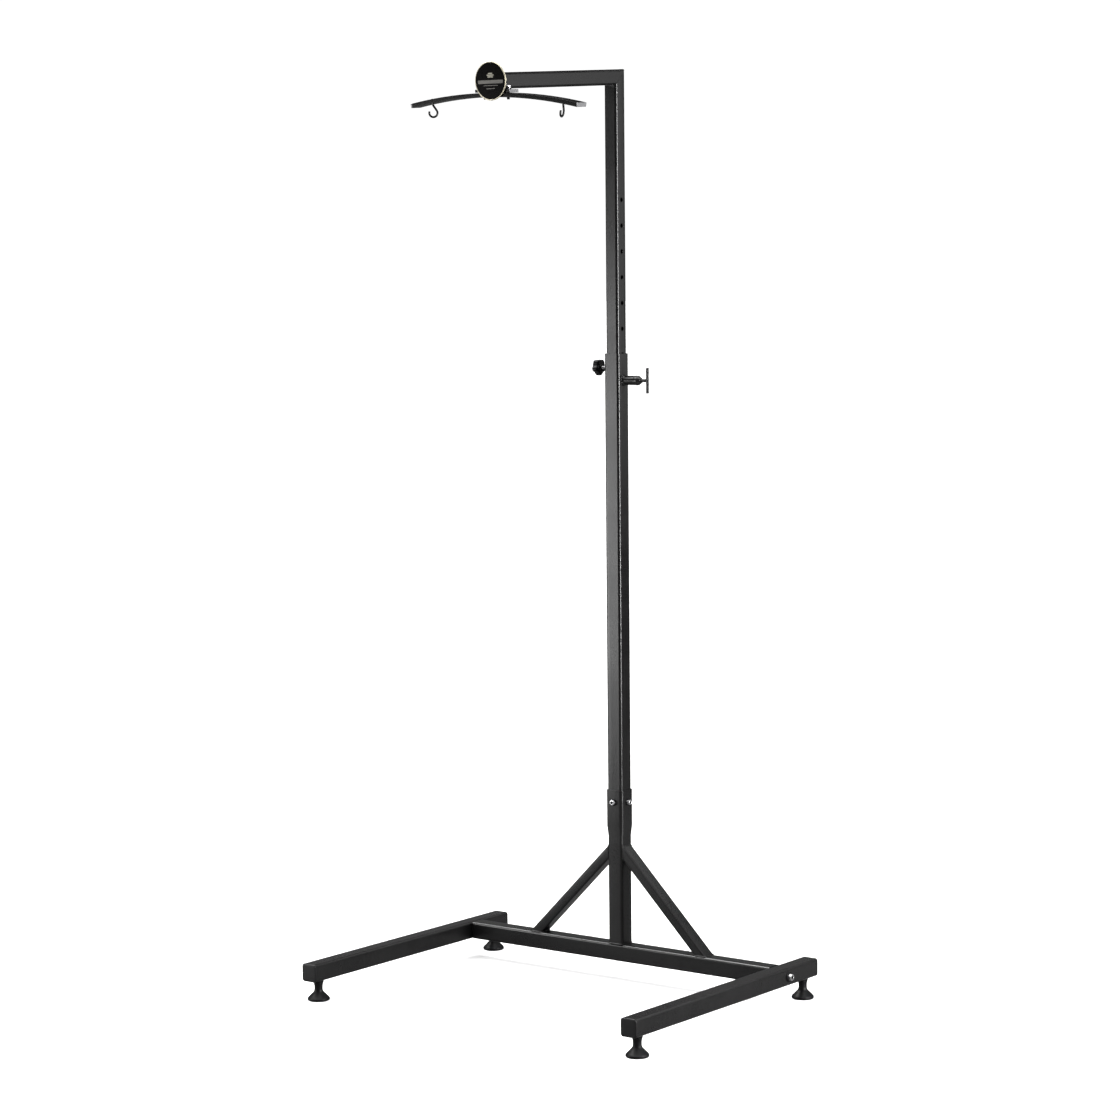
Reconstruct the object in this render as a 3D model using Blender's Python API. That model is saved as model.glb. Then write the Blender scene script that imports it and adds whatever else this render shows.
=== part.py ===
"""Free-standing single-post gong stand, height adjustable, with two cord hooks on an arched bar.

Blender 4.5. Metres, +Z up, the floor at Z = 0, the arm and the long ends of the legs towards -Y.
Everything is laid out around the post's axis and then moved back by POST_Y, which puts the origin
under the middle of the stand. Every sub-part is one named object, one closed solid.
"""

import math

import bmesh
import bpy
from mathutils import Euler, Matrix, Vector

MM = 0.001
GAP = 0.3 * MM  # left between pieces that touch on the real object

POST_Y = 200 * MM  # the post's axis, from the middle of the stand

# Base: two legs joined by a cross bar
LEG_SPACING = 762 * MM  # between the legs' centre lines
LEG_Y_FRONT = -500 * MM
LEG_Y_BACK = 100 * MM
LEG_Z = 58 * MM  # centre line of the legs and of the cross bar
TUBE = 35 * MM  # legs, cross bar, short post and lower tube
TUBE_WALL = 2 * MM
TUBE_CORNER = 5.2 * MM
CAP_HEAD = 2.5 * MM
CAP_PLUG = 16 * MM
CAP_WALL = 2 * MM
FOOT_INSET = 25 * MM  # from each end of a leg's tube
FOOT_TRAVEL = 15 * MM
FOOT_HOLE_R = 5.2 * MM
STUD_R = 4 * MM  # M8
FOOT_STUD_TOP = 24 * MM  # how far the stud reaches above the pad's collar
INSERT_R = 7 * MM
INSERT_HEIGHT = 9 * MM
LEG_BOLT_HOLE_R = 4.6 * MM
LEG_BOLT_LENGTH = 58 * MM
END_PLATE = 8 * MM  # threaded plate inside each end of the cross bar
END_PLATE_INSET = 8 * MM
LEG_WASHER_R = 10 * MM
LEG_WASHER = 2 * MM

# Post
SHORT_POST_TOP = 384 * MM
SOCKET = 39.4 * MM  # swaged top of the short post
SOCKET_WALL = 1.9 * MM
SOCKET_CORNER = 6.6 * MM
SWAGE_LOW = 291 * MM
SWAGE_HIGH = 312 * MM
LOWER_TUBE_LOW = 314 * MM
LOWER_TUBE_TOP = 1245 * MM
SOCKET_SCREW_Z = 360 * MM
BRACE_WIDTH = 20 * MM  # in the plane of the braces
BRACE_DEPTH = 30 * MM
BRACE_WALL = 1.8 * MM
BRACE_CORNER = 3.8 * MM
BRACE_FOOT_X = 200.6 * MM  # where a brace's centre line meets the cross bar's top

# Telescoping upper part
UPPER = 30 * MM
UPPER_WALL = 2 * MM
UPPER_CORNER = 5.2 * MM
UPPER_LOW = 793 * MM
PIN_Z = 1193 * MM
HOLE_PITCH = 50 * MM
HOLES_ABOVE_PIN = 7
HOLES_BELOW_PIN = 7
HOLE_R = 4.3 * MM
ARM_Z = 1779 * MM  # where the arm's centre line crosses the post's
ARM_DROOP = math.radians(3.0)
ARM_LENGTH = 385 * MM

# Locking hardware on the lower tube
PLUNGER_BORE_R = 4.3 * MM
PULL_TRAVEL = 8 * MM
KNOB_Z = 1217 * MM
KNOB_HOLE_R = 3.4 * MM
KNOB_STUD_R = 3 * MM
KNOB_TRAVEL = 5 * MM
KNOB_R = 16.5 * MM
KNOB_LOBES = 5

# Badge and hanger, in the arm's own frame: origin on the post's axis, -Y along the arm
BADGE_R = 36 * MM
BADGE_THICK = 1.6 * MM
HANGER_Y = -371 * MM
HANGER_ROLL = math.radians(-1.55)  # the plate sits this much off level across the arm
PLATE_LENGTH = 82 * MM
PLATE_DEPTH = 27 * MM
PLATE = 5.6 * MM
BAR_ARC_R = 1000 * MM
BAR_HALF_ARC = 197 * MM
BAR_DEPTH = 28 * MM
BAR = 8.2 * MM
HANGER_BOLT_X = 27 * MM
HANGER_BOLT_R = 3 * MM
HANGER_BOLT_HOLE_R = 3.4 * MM
HANGER_BOLT_LENGTH = 20.5 * MM
HOOK_ARC = 155 * MM  # along the bar from its middle
HOOK_ROD_R = 2.1 * MM
HOOK_HOLE_R = 2.5 * MM
HOOK_TURN = {"left": math.radians(37), "right": math.radians(104)}

SMOOTH = 24  # sides of a round piece that shows
PLAIN = 16  # sides of a small or hidden one


# ---------------------------------------------------------------- materials


def material(name, colour, roughness, metallic):
    made = bpy.data.materials.new(name)
    made.use_nodes = True
    shader = made.node_tree.nodes["Principled BSDF"]
    shader.inputs["Base Color"].default_value = (*colour, 1)
    shader.inputs["Roughness"].default_value = roughness
    shader.inputs["Metallic"].default_value = metallic
    return made


# ---------------------------------------------------------------- sections: lists of (x, y)


def circle(radius, sides=SMOOTH):
    return [
        (radius * math.cos(2 * math.pi * i / sides), radius * math.sin(2 * math.pi * i / sides))
        for i in range(sides)
    ]


def hexagon(across_flats, sides=SMOOTH):
    """A hexagon with as many points as a circle of that many sides, so that the two can be joined."""
    points = []
    for i in range(sides):
        angle = 2 * math.pi * i / sides
        off_flat = (angle + math.pi / 6) % (math.pi / 3) - math.pi / 6
        radius = across_flats / 2 / math.cos(off_flat)
        points.append((radius * math.cos(angle), radius * math.sin(angle)))
    return points


def star(radius, lobes, depth, sides):
    points = []
    for i in range(sides):
        angle = 2 * math.pi * i / sides
        reach = radius - depth * (1 - math.cos(lobes * angle)) / 2
        points.append((reach * math.cos(angle), reach * math.sin(angle)))
    return points


def rounded_rectangle(width, depth, corner, steps=3):
    points = []
    for turn in range(4):
        side_x, side_y = [(1, 1), (-1, 1), (-1, -1), (1, -1)][turn]
        centre = Vector((side_x * (width / 2 - corner), side_y * (depth / 2 - corner)))
        for i in range(steps + 1):
            angle = math.pi / 2 * (turn + i / steps)
            points.append((centre.x + corner * math.cos(angle), centre.y + corner * math.sin(angle)))
    return points


# ---------------------------------------------------------------- solids


def skin(name, rings, finish, loop=False):
    """One closed solid from rings of equal length: capped at both ends or, as a loop, joined end to end."""
    mesh = bmesh.new()
    rows = [[mesh.verts.new(point) for point in ring] for ring in rings]
    pairs = list(zip(rows, rows[1:]))
    if loop:
        pairs.append((rows[-1], rows[0]))
    for first, second in pairs:
        count = len(first)
        for i in range(count):
            after = (i + 1) % count
            mesh.faces.new((first[i], first[after], second[after], second[i]))
    if not loop:
        mesh.faces.new(reversed(rows[0]))
        mesh.faces.new(rows[-1])
    bmesh.ops.recalc_face_normals(mesh, faces=mesh.faces)
    data = bpy.data.meshes.new(name)
    mesh.to_mesh(data)
    mesh.free()
    data.materials.append(finish)
    made = bpy.data.objects.new(name, data)
    bpy.context.scene.collection.objects.link(made)
    return made


def stack(name, sections, finish, loop=False):
    """A solid from (section, height) pairs, along its own +Z."""
    rings = [[(x, y, height) for x, y in section] for section, height in sections]
    return skin(name, rings, finish, loop)


def lathe(name, profile, finish, loop=False, sides=SMOOTH):
    """A round solid from (radius, height) pairs, along its own +Z."""
    return stack(name, [(circle(radius, sides), height) for radius, height in profile], finish, loop)


def on_plane(section, frame, point, normal):
    """A section carried along the frame's Z until it meets the plane."""
    origin = frame.to_translation()
    along = frame.to_3x3() @ Vector((0, 0, 1))
    ring = []
    for x, y in section:
        base = frame.to_3x3() @ Vector((x, y, 0)) + origin
        ring.append(base + along * ((point - base).dot(normal) / along.dot(normal)))
    return ring


def cut_tube(name, outer, inner, frame, start, end, finish):
    """A tube along the frame's Z between two planes, each (point, normal)."""
    rings = [
        on_plane(outer, frame, *start),
        on_plane(outer, frame, *end),
        on_plane(inner, frame, *end),
        on_plane(inner, frame, *start),
    ]
    return skin(name, rings, finish, loop=True)


def tube_sections(width, depth, wall, corner):
    outer = rounded_rectangle(width, depth, corner)
    inner = rounded_rectangle(width - 2 * wall, depth - 2 * wall, max(corner - wall, 0.8 * MM))
    return outer, inner


def place(made, location, rotation=(0, 0, 0), parent=None):
    made.location = location
    made.rotation_euler = rotation
    made.parent = parent
    return made


def drill(target, radius, start, end, sides=PLAIN):
    """Cuts a round hole from start to end, in the target's own frame."""
    start, end = Vector(start), Vector(end)
    profile = [(radius, 0), (radius, (end - start).length)]
    cutter = lathe(target.name + "_drill", profile, target.data.materials[0], sides=sides)
    cutter.parent = target
    cutter.location = start
    cutter.rotation_euler = (end - start).to_track_quat("Z", "Y").to_euler()
    cutter.hide_render = True
    cutter.display_type = "WIRE"
    hole = target.modifiers.new("Hole", "BOOLEAN")
    hole.object = cutter
    hole.operation = "DIFFERENCE"
    return cutter


def empty(name, location, rotation=(0, 0, 0), parent=None):
    made = bpy.data.objects.new(name, None)
    bpy.context.scene.collection.objects.link(made)
    return place(made, location, rotation, parent)


def socket_screw(name, thread_r, head_r, head, length, key, finish, sides=SMOOTH):
    """A hex socket cap screw: the head's underside at Z = 0, the head above it, the shank below."""
    bevel = 0.08 * head_r
    key_depth = 0.55 * head
    sections = [
        (circle(thread_r * 0.8, sides), -length),
        (circle(thread_r, sides), -length + 0.2 * thread_r),
        (circle(thread_r, sides), 0),
        (circle(head_r, sides), 0),
        (circle(head_r, sides), head - bevel),
        (circle(head_r - bevel, sides), head),
        (hexagon(key, sides), head),
        (hexagon(key, sides), head - key_depth),
    ]
    return stack(name, sections, finish)


def washer(name, inner_r, outer_r, thick, finish, sides=SMOOTH):
    profile = [(inner_r, 0), (outer_r, 0), (outer_r, thick), (inner_r, thick)]
    return lathe(name, profile, finish, loop=True, sides=sides)


# ---------------------------------------------------------------- base


def make_leg(side, x, coat):
    outer, inner = tube_sections(TUBE, TUBE, TUBE_WALL, TUBE_CORNER)
    sections = [(outer, -LEG_Y_BACK), (outer, -LEG_Y_FRONT), (inner, -LEG_Y_FRONT), (inner, -LEG_Y_BACK)]
    leg = stack(side + "_leg", sections, coat, loop=True)
    place(leg, (x, 0, LEG_Z), (math.pi / 2, 0, 0))
    # In the leg's own frame +Z points to the front and +Y up.
    drill(leg, LEG_BOLT_HOLE_R, (-TUBE, 0, 0), (TUBE, 0, 0))
    for y in (LEG_Y_FRONT + FOOT_INSET, LEG_Y_BACK - FOOT_INSET):
        drill(leg, FOOT_HOLE_R, (0, -TUBE, -y), (0, -TUBE / 2 + 2 * TUBE_WALL, -y))


def make_leg_cap(name, location, turn, plastic):
    inside = TUBE - 2 * TUBE_WALL - 2 * GAP
    face = rounded_rectangle(TUBE - 5 * MM, TUBE - 5 * MM, 3.4 * MM)
    shoulder = rounded_rectangle(TUBE - 1.6 * MM, TUBE - 1.6 * MM, 4.6 * MM)
    full = rounded_rectangle(TUBE, TUBE, TUBE_CORNER)
    plug = rounded_rectangle(inside, inside, 3.2 * MM)
    hollow = rounded_rectangle(inside - 2 * CAP_WALL, inside - 2 * CAP_WALL, 1.4 * MM)
    sections = [
        (hollow, GAP),
        (hollow, -CAP_PLUG),
        (plug, -CAP_PLUG),
        (plug, GAP),
        (full, GAP),
        (full, GAP + CAP_HEAD * 0.35),
        (shoulder, GAP + CAP_HEAD * 0.8),
        (face, GAP + CAP_HEAD),
    ]
    cap = stack(name, sections, plastic)
    place(cap, location, (math.pi / 2, 0, turn))


def make_foot(name, x, y, plastic, zinc):
    """Pad and stud of one levelling foot. The stud turns in a threaded insert in the leg's lower wall."""
    collar_top = LEG_Z - TUBE / 2 - GAP
    profile = [
        (19.8, 0),
        (21.6, 1.6),
        (21.6, 4.6),
        (20.4, 6.4),
        (9.6, 17.2),
        (8.2, 20.6),
        (8.2, 29.5),
        (10.2, 36.2),
        (10.4, collar_top / MM),
        (STUD_R / MM + 0.3, collar_top / MM),
        (STUD_R / MM + 0.3, 14),
    ]
    pad = lathe("foot_pad_" + name, [(r * MM, z * MM) for r, z in profile], plastic)
    place(pad, (x, y, 0))
    stud_profile = [
        (STUD_R, 14.4 * MM),
        (STUD_R, collar_top + FOOT_STUD_TOP - 1 * MM),
        (STUD_R * 0.8, collar_top + FOOT_STUD_TOP),
    ]
    place(lathe("foot_stud_" + name, stud_profile, zinc, sides=PLAIN), (x, y, 0))
    seat = LEG_Z - TUBE / 2 + TUBE_WALL + GAP
    insert = washer("foot_insert_" + name, STUD_R + GAP, INSERT_R, INSERT_HEIGHT, zinc, PLAIN)
    place(insert, (x, y, seat))


def make_base(coat, plastic, zinc, chrome):
    for side, sign in (("left", -1), ("right", 1)):
        x = sign * LEG_SPACING / 2
        make_leg(side, x, coat)
        for end, y, turn in (("front", LEG_Y_FRONT, 0), ("back", LEG_Y_BACK, math.pi)):
            make_leg_cap(f"leg_cap_{end}_{side}", (x, y, LEG_Z), turn, plastic)
            foot_y = y + (FOOT_INSET if end == "front" else -FOOT_INSET)
            make_foot(f"{end}_{side}", x, foot_y, plastic, zinc)

        outwards = (0, sign * math.pi / 2, 0)
        face = sign * (LEG_SPACING / 2 + TUBE / 2 + GAP)
        ring = washer(f"leg_washer_{side}", STUD_R + GAP, LEG_WASHER_R, LEG_WASHER, plastic)
        place(ring, (face, 0, LEG_Z), outwards)
        bolt = socket_screw(f"leg_bolt_{side}", STUD_R, 6.5 * MM, 5 * MM, LEG_BOLT_LENGTH, 6 * MM, chrome)
        place(bolt, (face + sign * (LEG_WASHER + GAP), 0, LEG_Z), outwards)
        inside = TUBE - 2 * TUBE_WALL - 2 * GAP
        block = rounded_rectangle(inside, inside, 3.2 * MM)
        plate = stack(f"bar_end_plate_{side}", [(block, 0), (block, END_PLATE)], zinc)
        drill(plate, STUD_R + GAP, (0, 0, -END_PLATE), (0, 0, 2 * END_PLATE))
        plate_x = sign * (LEG_SPACING / 2 - TUBE / 2 - GAP - END_PLATE_INSET - END_PLATE)
        place(plate, (plate_x, 0, LEG_Z), outwards)

    half = LEG_SPACING / 2 - TUBE / 2 - GAP
    outer, inner = tube_sections(TUBE, TUBE, TUBE_WALL, TUBE_CORNER)
    bar = stack("cross_bar", [(outer, -half), (outer, half), (inner, half), (inner, -half)], coat, loop=True)
    place(bar, (0, 0, LEG_Z), (0, math.pi / 2, 0))


# ---------------------------------------------------------------- post


def make_short_post(coat):
    low = LEG_Z + TUBE / 2 + GAP
    outer, inner = tube_sections(TUBE, TUBE, TUBE_WALL, TUBE_CORNER)
    wide_outer, wide_inner = tube_sections(SOCKET, SOCKET, SOCKET_WALL, SOCKET_CORNER)
    sections = [
        (outer, low),
        (outer, SWAGE_LOW),
        (wide_outer, SWAGE_HIGH),
        (wide_outer, SHORT_POST_TOP),
        (wide_inner, SHORT_POST_TOP),
        (wide_inner, SWAGE_HIGH),
        (inner, SWAGE_LOW),
        (inner, low),
    ]
    post = stack("short_post", sections, coat, loop=True)
    drill(post, 3.5 * MM, (0, 0, SOCKET_SCREW_Z), (0, -SOCKET, SOCKET_SCREW_Z))
    drill(post, 3.5 * MM, (0, 0, SOCKET_SCREW_Z), (SOCKET, 0, SOCKET_SCREW_Z))


def make_lower_tube(coat):
    outer, inner = tube_sections(TUBE, TUBE, TUBE_WALL, TUBE_CORNER)
    low, top = LOWER_TUBE_LOW, LOWER_TUBE_TOP
    tube = stack("lower_tube", [(outer, low), (outer, top), (inner, top), (inner, low)], coat, loop=True)
    drill(tube, 3.5 * MM, (0, 0, SOCKET_SCREW_Z), (0, -TUBE, SOCKET_SCREW_Z))
    drill(tube, 3.5 * MM, (0, 0, SOCKET_SCREW_Z), (TUBE, 0, SOCKET_SCREW_Z))
    drill(tube, PLUNGER_BORE_R, (0, 0, PIN_Z), (TUBE, 0, PIN_Z))
    drill(tube, KNOB_HOLE_R, (0, 0, KNOB_Z), (-TUBE, 0, KNOB_Z))


def make_socket_screws(plastic, zinc, chrome):
    face = SOCKET / 2 + GAP
    nut_face = TUBE / 2 - TUBE_WALL - GAP
    for side, turn in (("front", (math.pi / 2, 0, 0)), ("right", (0, math.pi / 2, 0))):
        out = Euler(turn).to_matrix() @ Vector((0, 0, 1))
        middle = Vector((0, 0, SOCKET_SCREW_Z))
        ring = washer("socket_washer_" + side, 3.3 * MM, 6.6 * MM, 1.6 * MM, plastic)
        place(ring, middle + out * face, turn)
        screw = socket_screw("socket_screw_" + side, 3 * MM, 5 * MM, 5 * MM, 17 * MM, 4.6 * MM, chrome)
        place(screw, middle + out * (face + 1.6 * MM + GAP), turn)
        nut = washer("socket_nut_" + side, 3.3 * MM, 5 * MM, 5 * MM, zinc, PLAIN)
        place(nut, middle + out * (nut_face - 5 * MM), turn)


def make_brace(side, sign, coat):
    outer, inner = tube_sections(BRACE_WIDTH, BRACE_DEPTH, BRACE_WALL, BRACE_CORNER)
    bar_top = LEG_Z + TUBE / 2 + GAP
    # The brace's own X lies in its plane, its Y along the world's Y and its Z up along the brace.
    along = Vector((-sign, 0, 1)).normalized()
    depth = Vector((0, 1, 0))
    frame = Matrix((depth.cross(along), depth, along)).transposed().to_4x4()
    frame.translation = (sign * BRACE_FOOT_X, 0, bar_top)
    start = (Vector((0, 0, bar_top)), Vector((0, 0, 1)))
    end = (Vector((sign * (TUBE / 2 + GAP), 0, 0)), Vector((1, 0, 0)))
    cut_tube(side + "_brace", outer, inner, frame, start, end, coat)


# ---------------------------------------------------------------- locking hardware


def along_x(made, x, z, sign=1, parent=None):
    """Puts a solid's own +Z along +X, or along -X."""
    return place(made, (x, 0, z), (0, sign * math.pi / 2, 0), parent)


def make_plunger(black, zinc, spring_steel):
    face = TUBE / 2 + GAP
    # Heights are along +X from the lower tube's face.
    body = [
        (PLUNGER_BORE_R, 0),
        (10.6 * MM, 0),
        (10.6 * MM, 3.4 * MM),
        (9.1 * MM, 4.6 * MM),
        (9.1 * MM, 28 * MM),
        (6.6 * MM, 28 * MM),
        (6.6 * MM, 4.5 * MM),
        (PLUNGER_BORE_R, 4.5 * MM),
    ]
    along_x(lathe("plunger_body", body, black, loop=True), face, PIN_Z)
    collar = [
        (3.6 * MM, 0),
        (8.8 * MM, 0),
        (9.5 * MM, 0.8 * MM),
        (9.5 * MM, 6.6 * MM),
        (8.6 * MM, 8.4 * MM),
        (5 * MM, 14 * MM),
        (3.6 * MM, 14 * MM),
    ]
    along_x(lathe("plunger_collar", collar, black, loop=True), face + 28 * MM + GAP, PIN_Z)

    holder = empty("plunger_pull_axis", (UPPER / 2 + 0.5 * MM, 0, PIN_Z))
    nose = 6.8 * MM  # the shoulder rests on the bore's floor
    pin = [
        (3.4 * MM, 0),
        (4 * MM, 0.8 * MM),
        (4 * MM, nose),
        (6.2 * MM, nose + GAP),
        (6.2 * MM, nose + 2.4 * MM),
        (3.2 * MM, nose + 2.4 * MM),
        (3.2 * MM, 55.4 * MM),
    ]
    place(lathe("plunger_pin", pin, zinc), (0, 0, 0), (0, math.pi / 2, 0), holder)
    half = 25 * MM
    bar = [
        (2.1 * MM, -half),
        (3.1 * MM, -half + 1 * MM),
        (3.1 * MM, half - 1 * MM),
        (2.1 * MM, half),
    ]
    place(lathe("pull_handle", bar, black, sides=PLAIN), (58.8 * MM, 0, 0), (0, 0, 0), holder)

    coil_start = UPPER / 2 + 0.5 * MM + nose + 2.4 * MM + GAP
    coil_end = face + 28 * MM
    make_spring("plunger_spring", coil_start, coil_end, spring_steel)


def make_spring(name, x_low, x_high, steel):
    wire, coil, turns, steps, sides = 0.6 * MM, 4.7 * MM, 6, 10, 5
    pitch = (x_high - x_low - 2 * wire) / turns
    rings = []
    for i in range(turns * steps + 1):
        angle = 2 * math.pi * i / steps
        outwards = Vector((0, math.cos(angle), math.sin(angle)))
        centre = Vector((x_low + wire + pitch * i / steps, 0, PIN_Z)) + coil * outwards
        section = circle(wire, sides)
        rings.append([centre + outwards * u + Vector((v, 0, 0)) for u, v in section])
    skin(name, rings, steel)


def make_knob(black, zinc, chrome, coat):
    face = TUBE / 2 + GAP
    nut, hole = hexagon(12 * MM), circle(KNOB_HOLE_R)
    boss = stack("knob_boss", [(hole, 0), (nut, 0), (nut, 6 * MM), (hole, 6 * MM)], coat, loop=True)
    along_x(boss, -face, KNOB_Z, sign=-1)
    holder = empty("knob_axis", (0, 0, KNOB_Z), (0, -math.pi / 2, 0))
    tip = UPPER / 2 + 0.4 * MM
    stud = [(2.2 * MM, tip), (KNOB_STUD_R, tip + 0.8 * MM), (KNOB_STUD_R, 47.4 * MM)]
    place(lathe("knob_stud", stud, chrome), (0, 0, 0), (0, 0, 0), holder)
    sides = 40
    lobes = {
        "rim": star(KNOB_R - 1.2 * MM, KNOB_LOBES, 2.9 * MM, sides),
        "full": star(KNOB_R, KNOB_LOBES, 3.2 * MM, sides),
        "crown": star(KNOB_R - 4.5 * MM, KNOB_LOBES, 1.9 * MM, sides),
    }
    bore = circle(KNOB_STUD_R + GAP, sides)
    sections = [
        (bore, 47.8 * MM),
        (bore, 33.8 * MM),
        (circle(6.2 * MM, sides), 33.8 * MM),
        (circle(6.6 * MM, sides), 36.2 * MM),
        (lobes["rim"], 36.8 * MM),
        (lobes["full"], 38 * MM),
        (lobes["full"], 47.6 * MM),
        (lobes["rim"], 49 * MM),
        (lobes["crown"], 50 * MM),
    ]
    place(stack("star_knob", sections, black), (0, 0, 0), (0, 0, math.pi), holder)


# ---------------------------------------------------------------- upper tube, arm, badge


def mitre():
    """The plane where the upper tube and the arm meet: a point on it and its normal, towards the post."""
    down = Vector((0, 0, -1))
    forwards = Vector((0, -math.cos(ARM_DROOP), -math.sin(ARM_DROOP)))
    return Vector((0, 0, ARM_Z)), (down - forwards).normalized()


def make_upper(coat, plastic):
    outer, inner = tube_sections(UPPER, UPPER, UPPER_WALL, UPPER_CORNER)
    corner, towards_post = mitre()
    half_gap = towards_post * GAP / 2
    bottom = (Vector((0, 0, UPPER_LOW)), Vector((0, 0, 1)))
    tube = cut_tube("upper_tube", outer, inner, Matrix(), bottom, (corner + half_gap, towards_post), coat)
    for i in range(-HOLES_BELOW_PIN, HOLES_ABOVE_PIN + 1):
        z = PIN_Z + i * HOLE_PITCH
        drill(tube, HOLE_R, (0, 0, z), (UPPER, 0, z))

    arm_turn = Matrix.Rotation(ARM_DROOP, 4, "X")
    frame = Matrix.Translation((0, 0, ARM_Z)) @ arm_turn @ Matrix.Rotation(math.pi / 2, 4, "X")
    forwards = frame.to_3x3() @ Vector((0, 0, 1))
    front = (corner + forwards * ARM_LENGTH, forwards)
    cut_tube("arm", outer, inner, frame, (corner - half_gap, towards_post), front, coat)

    holder = empty("arm_front", corner, (ARM_DROOP, 0, 0))
    plug_size = UPPER - 2 * UPPER_WALL - 2 * GAP
    plug = rounded_rectangle(plug_size, plug_size, 3.3 * MM)
    hollow = rounded_rectangle(plug_size - 2 * CAP_WALL, plug_size - 2 * CAP_WALL, 1 * MM)
    full = rounded_rectangle(UPPER, UPPER, UPPER_CORNER)
    sections = [
        (hollow, ARM_LENGTH - 1 * MM),
        (hollow, ARM_LENGTH - CAP_PLUG),
        (plug, ARM_LENGTH - CAP_PLUG),
        (plug, ARM_LENGTH + GAP),
        (full, ARM_LENGTH + GAP),
        (full, ARM_LENGTH + 2 * MM),
    ]
    place(stack("arm_plug", sections, plastic), (0, 0, 0), (math.pi / 2, 0, 0), holder)
    return holder


def make_badge(holder, black, gold):
    back = ARM_LENGTH + 2 * MM + GAP
    disc = [(BADGE_R - 2.2 * MM, back), (BADGE_R - 2.2 * MM, back + BADGE_THICK)]
    place(lathe("badge_disc", disc, black, sides=48), (0, 0, 0), (math.pi / 2, 0, 0), holder)
    inner = BADGE_R - 2.2 * MM + 0.2 * MM
    ring = [
        (inner, back),
        (BADGE_R, back),
        (BADGE_R, back + BADGE_THICK + 0.2 * MM),
        (BADGE_R - 0.6 * MM, back + BADGE_THICK + 0.6 * MM),
        (inner, back + BADGE_THICK + 0.4 * MM),
    ]
    place(lathe("badge_rim", ring, gold, loop=True, sides=48), (0, 0, 0), (math.pi / 2, 0, 0), holder)


# ---------------------------------------------------------------- hanger


def make_hanger(arm_front, coat, plastic, chrome):
    """The plate under the arm's front end and the arched bar below it. Returns the frame they share."""
    under_arm = -UPPER / 2 - GAP
    top = under_arm - UPPER / 2 * abs(math.tan(HANGER_ROLL))
    holder = empty("hanger_frame", (0, HANGER_Y, top), (0, -HANGER_ROLL, 0), arm_front)
    # In this frame Z = 0 is the plate's top.
    block = rounded_rectangle(PLATE_LENGTH, PLATE_DEPTH, 1.2 * MM)
    edge = rounded_rectangle(PLATE_LENGTH - 0.8 * MM, PLATE_DEPTH - 0.8 * MM, 1 * MM)
    sections = [(edge, -PLATE), (block, -PLATE + 0.4 * MM), (block, -0.4 * MM), (edge, 0)]
    plate = place(stack("hanger_plate", sections, coat), (0, 0, 0), (0, 0, 0), holder)
    bar_top = -PLATE - GAP
    bar = make_bar(bar_top, coat)
    bar.parent = holder
    for side, sign in (("left", -1), ("right", 1)):
        x = sign * HANGER_BOLT_X
        drill(plate, HANGER_BOLT_HOLE_R, (x, 0, -2 * PLATE), (x, 0, PLATE))
        drill(bar, HANGER_BOLT_HOLE_R, (x, 0, bar_top - 3 * BAR), (x, 0, bar_top + BAR))
        ring = washer("hanger_washer_" + side, HANGER_BOLT_HOLE_R, 6 * MM, 1.2 * MM, plastic)
        place(ring, (x, 0, GAP), (0, 0, 0), holder)
        bolt = socket_screw(
            "hanger_bolt_" + side, HANGER_BOLT_R, 5 * MM, 5.6 * MM, HANGER_BOLT_LENGTH, 4.6 * MM, chrome
        )
        place(bolt, (x, 0, 2 * GAP + 1.2 * MM), (0, 0, 0), holder)
    return holder, bar, bar_top


def bar_frame(arc, bar_top):
    """Where the bar's top lies at this distance along its arc: its place and its lean."""
    angle = arc / BAR_ARC_R
    place_there = Vector((BAR_ARC_R * math.sin(angle), 0, bar_top - BAR_ARC_R * (1 - math.cos(angle))))
    return place_there, angle


def make_bar(bar_top, coat):
    section = rounded_rectangle(BAR_DEPTH, BAR, 1 * MM, steps=2)
    rings = []
    steps = 20
    for i in range(steps + 1):
        top, angle = bar_frame(BAR_HALF_ARC * (2 * i / steps - 1), bar_top)
        outwards = Vector((math.sin(angle), 0, math.cos(angle)))
        middle = top - outwards * BAR / 2
        rings.append([middle + Vector((0, u, 0)) + outwards * v for u, v in section])
    return skin("hanger_bar", rings, coat)


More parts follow.
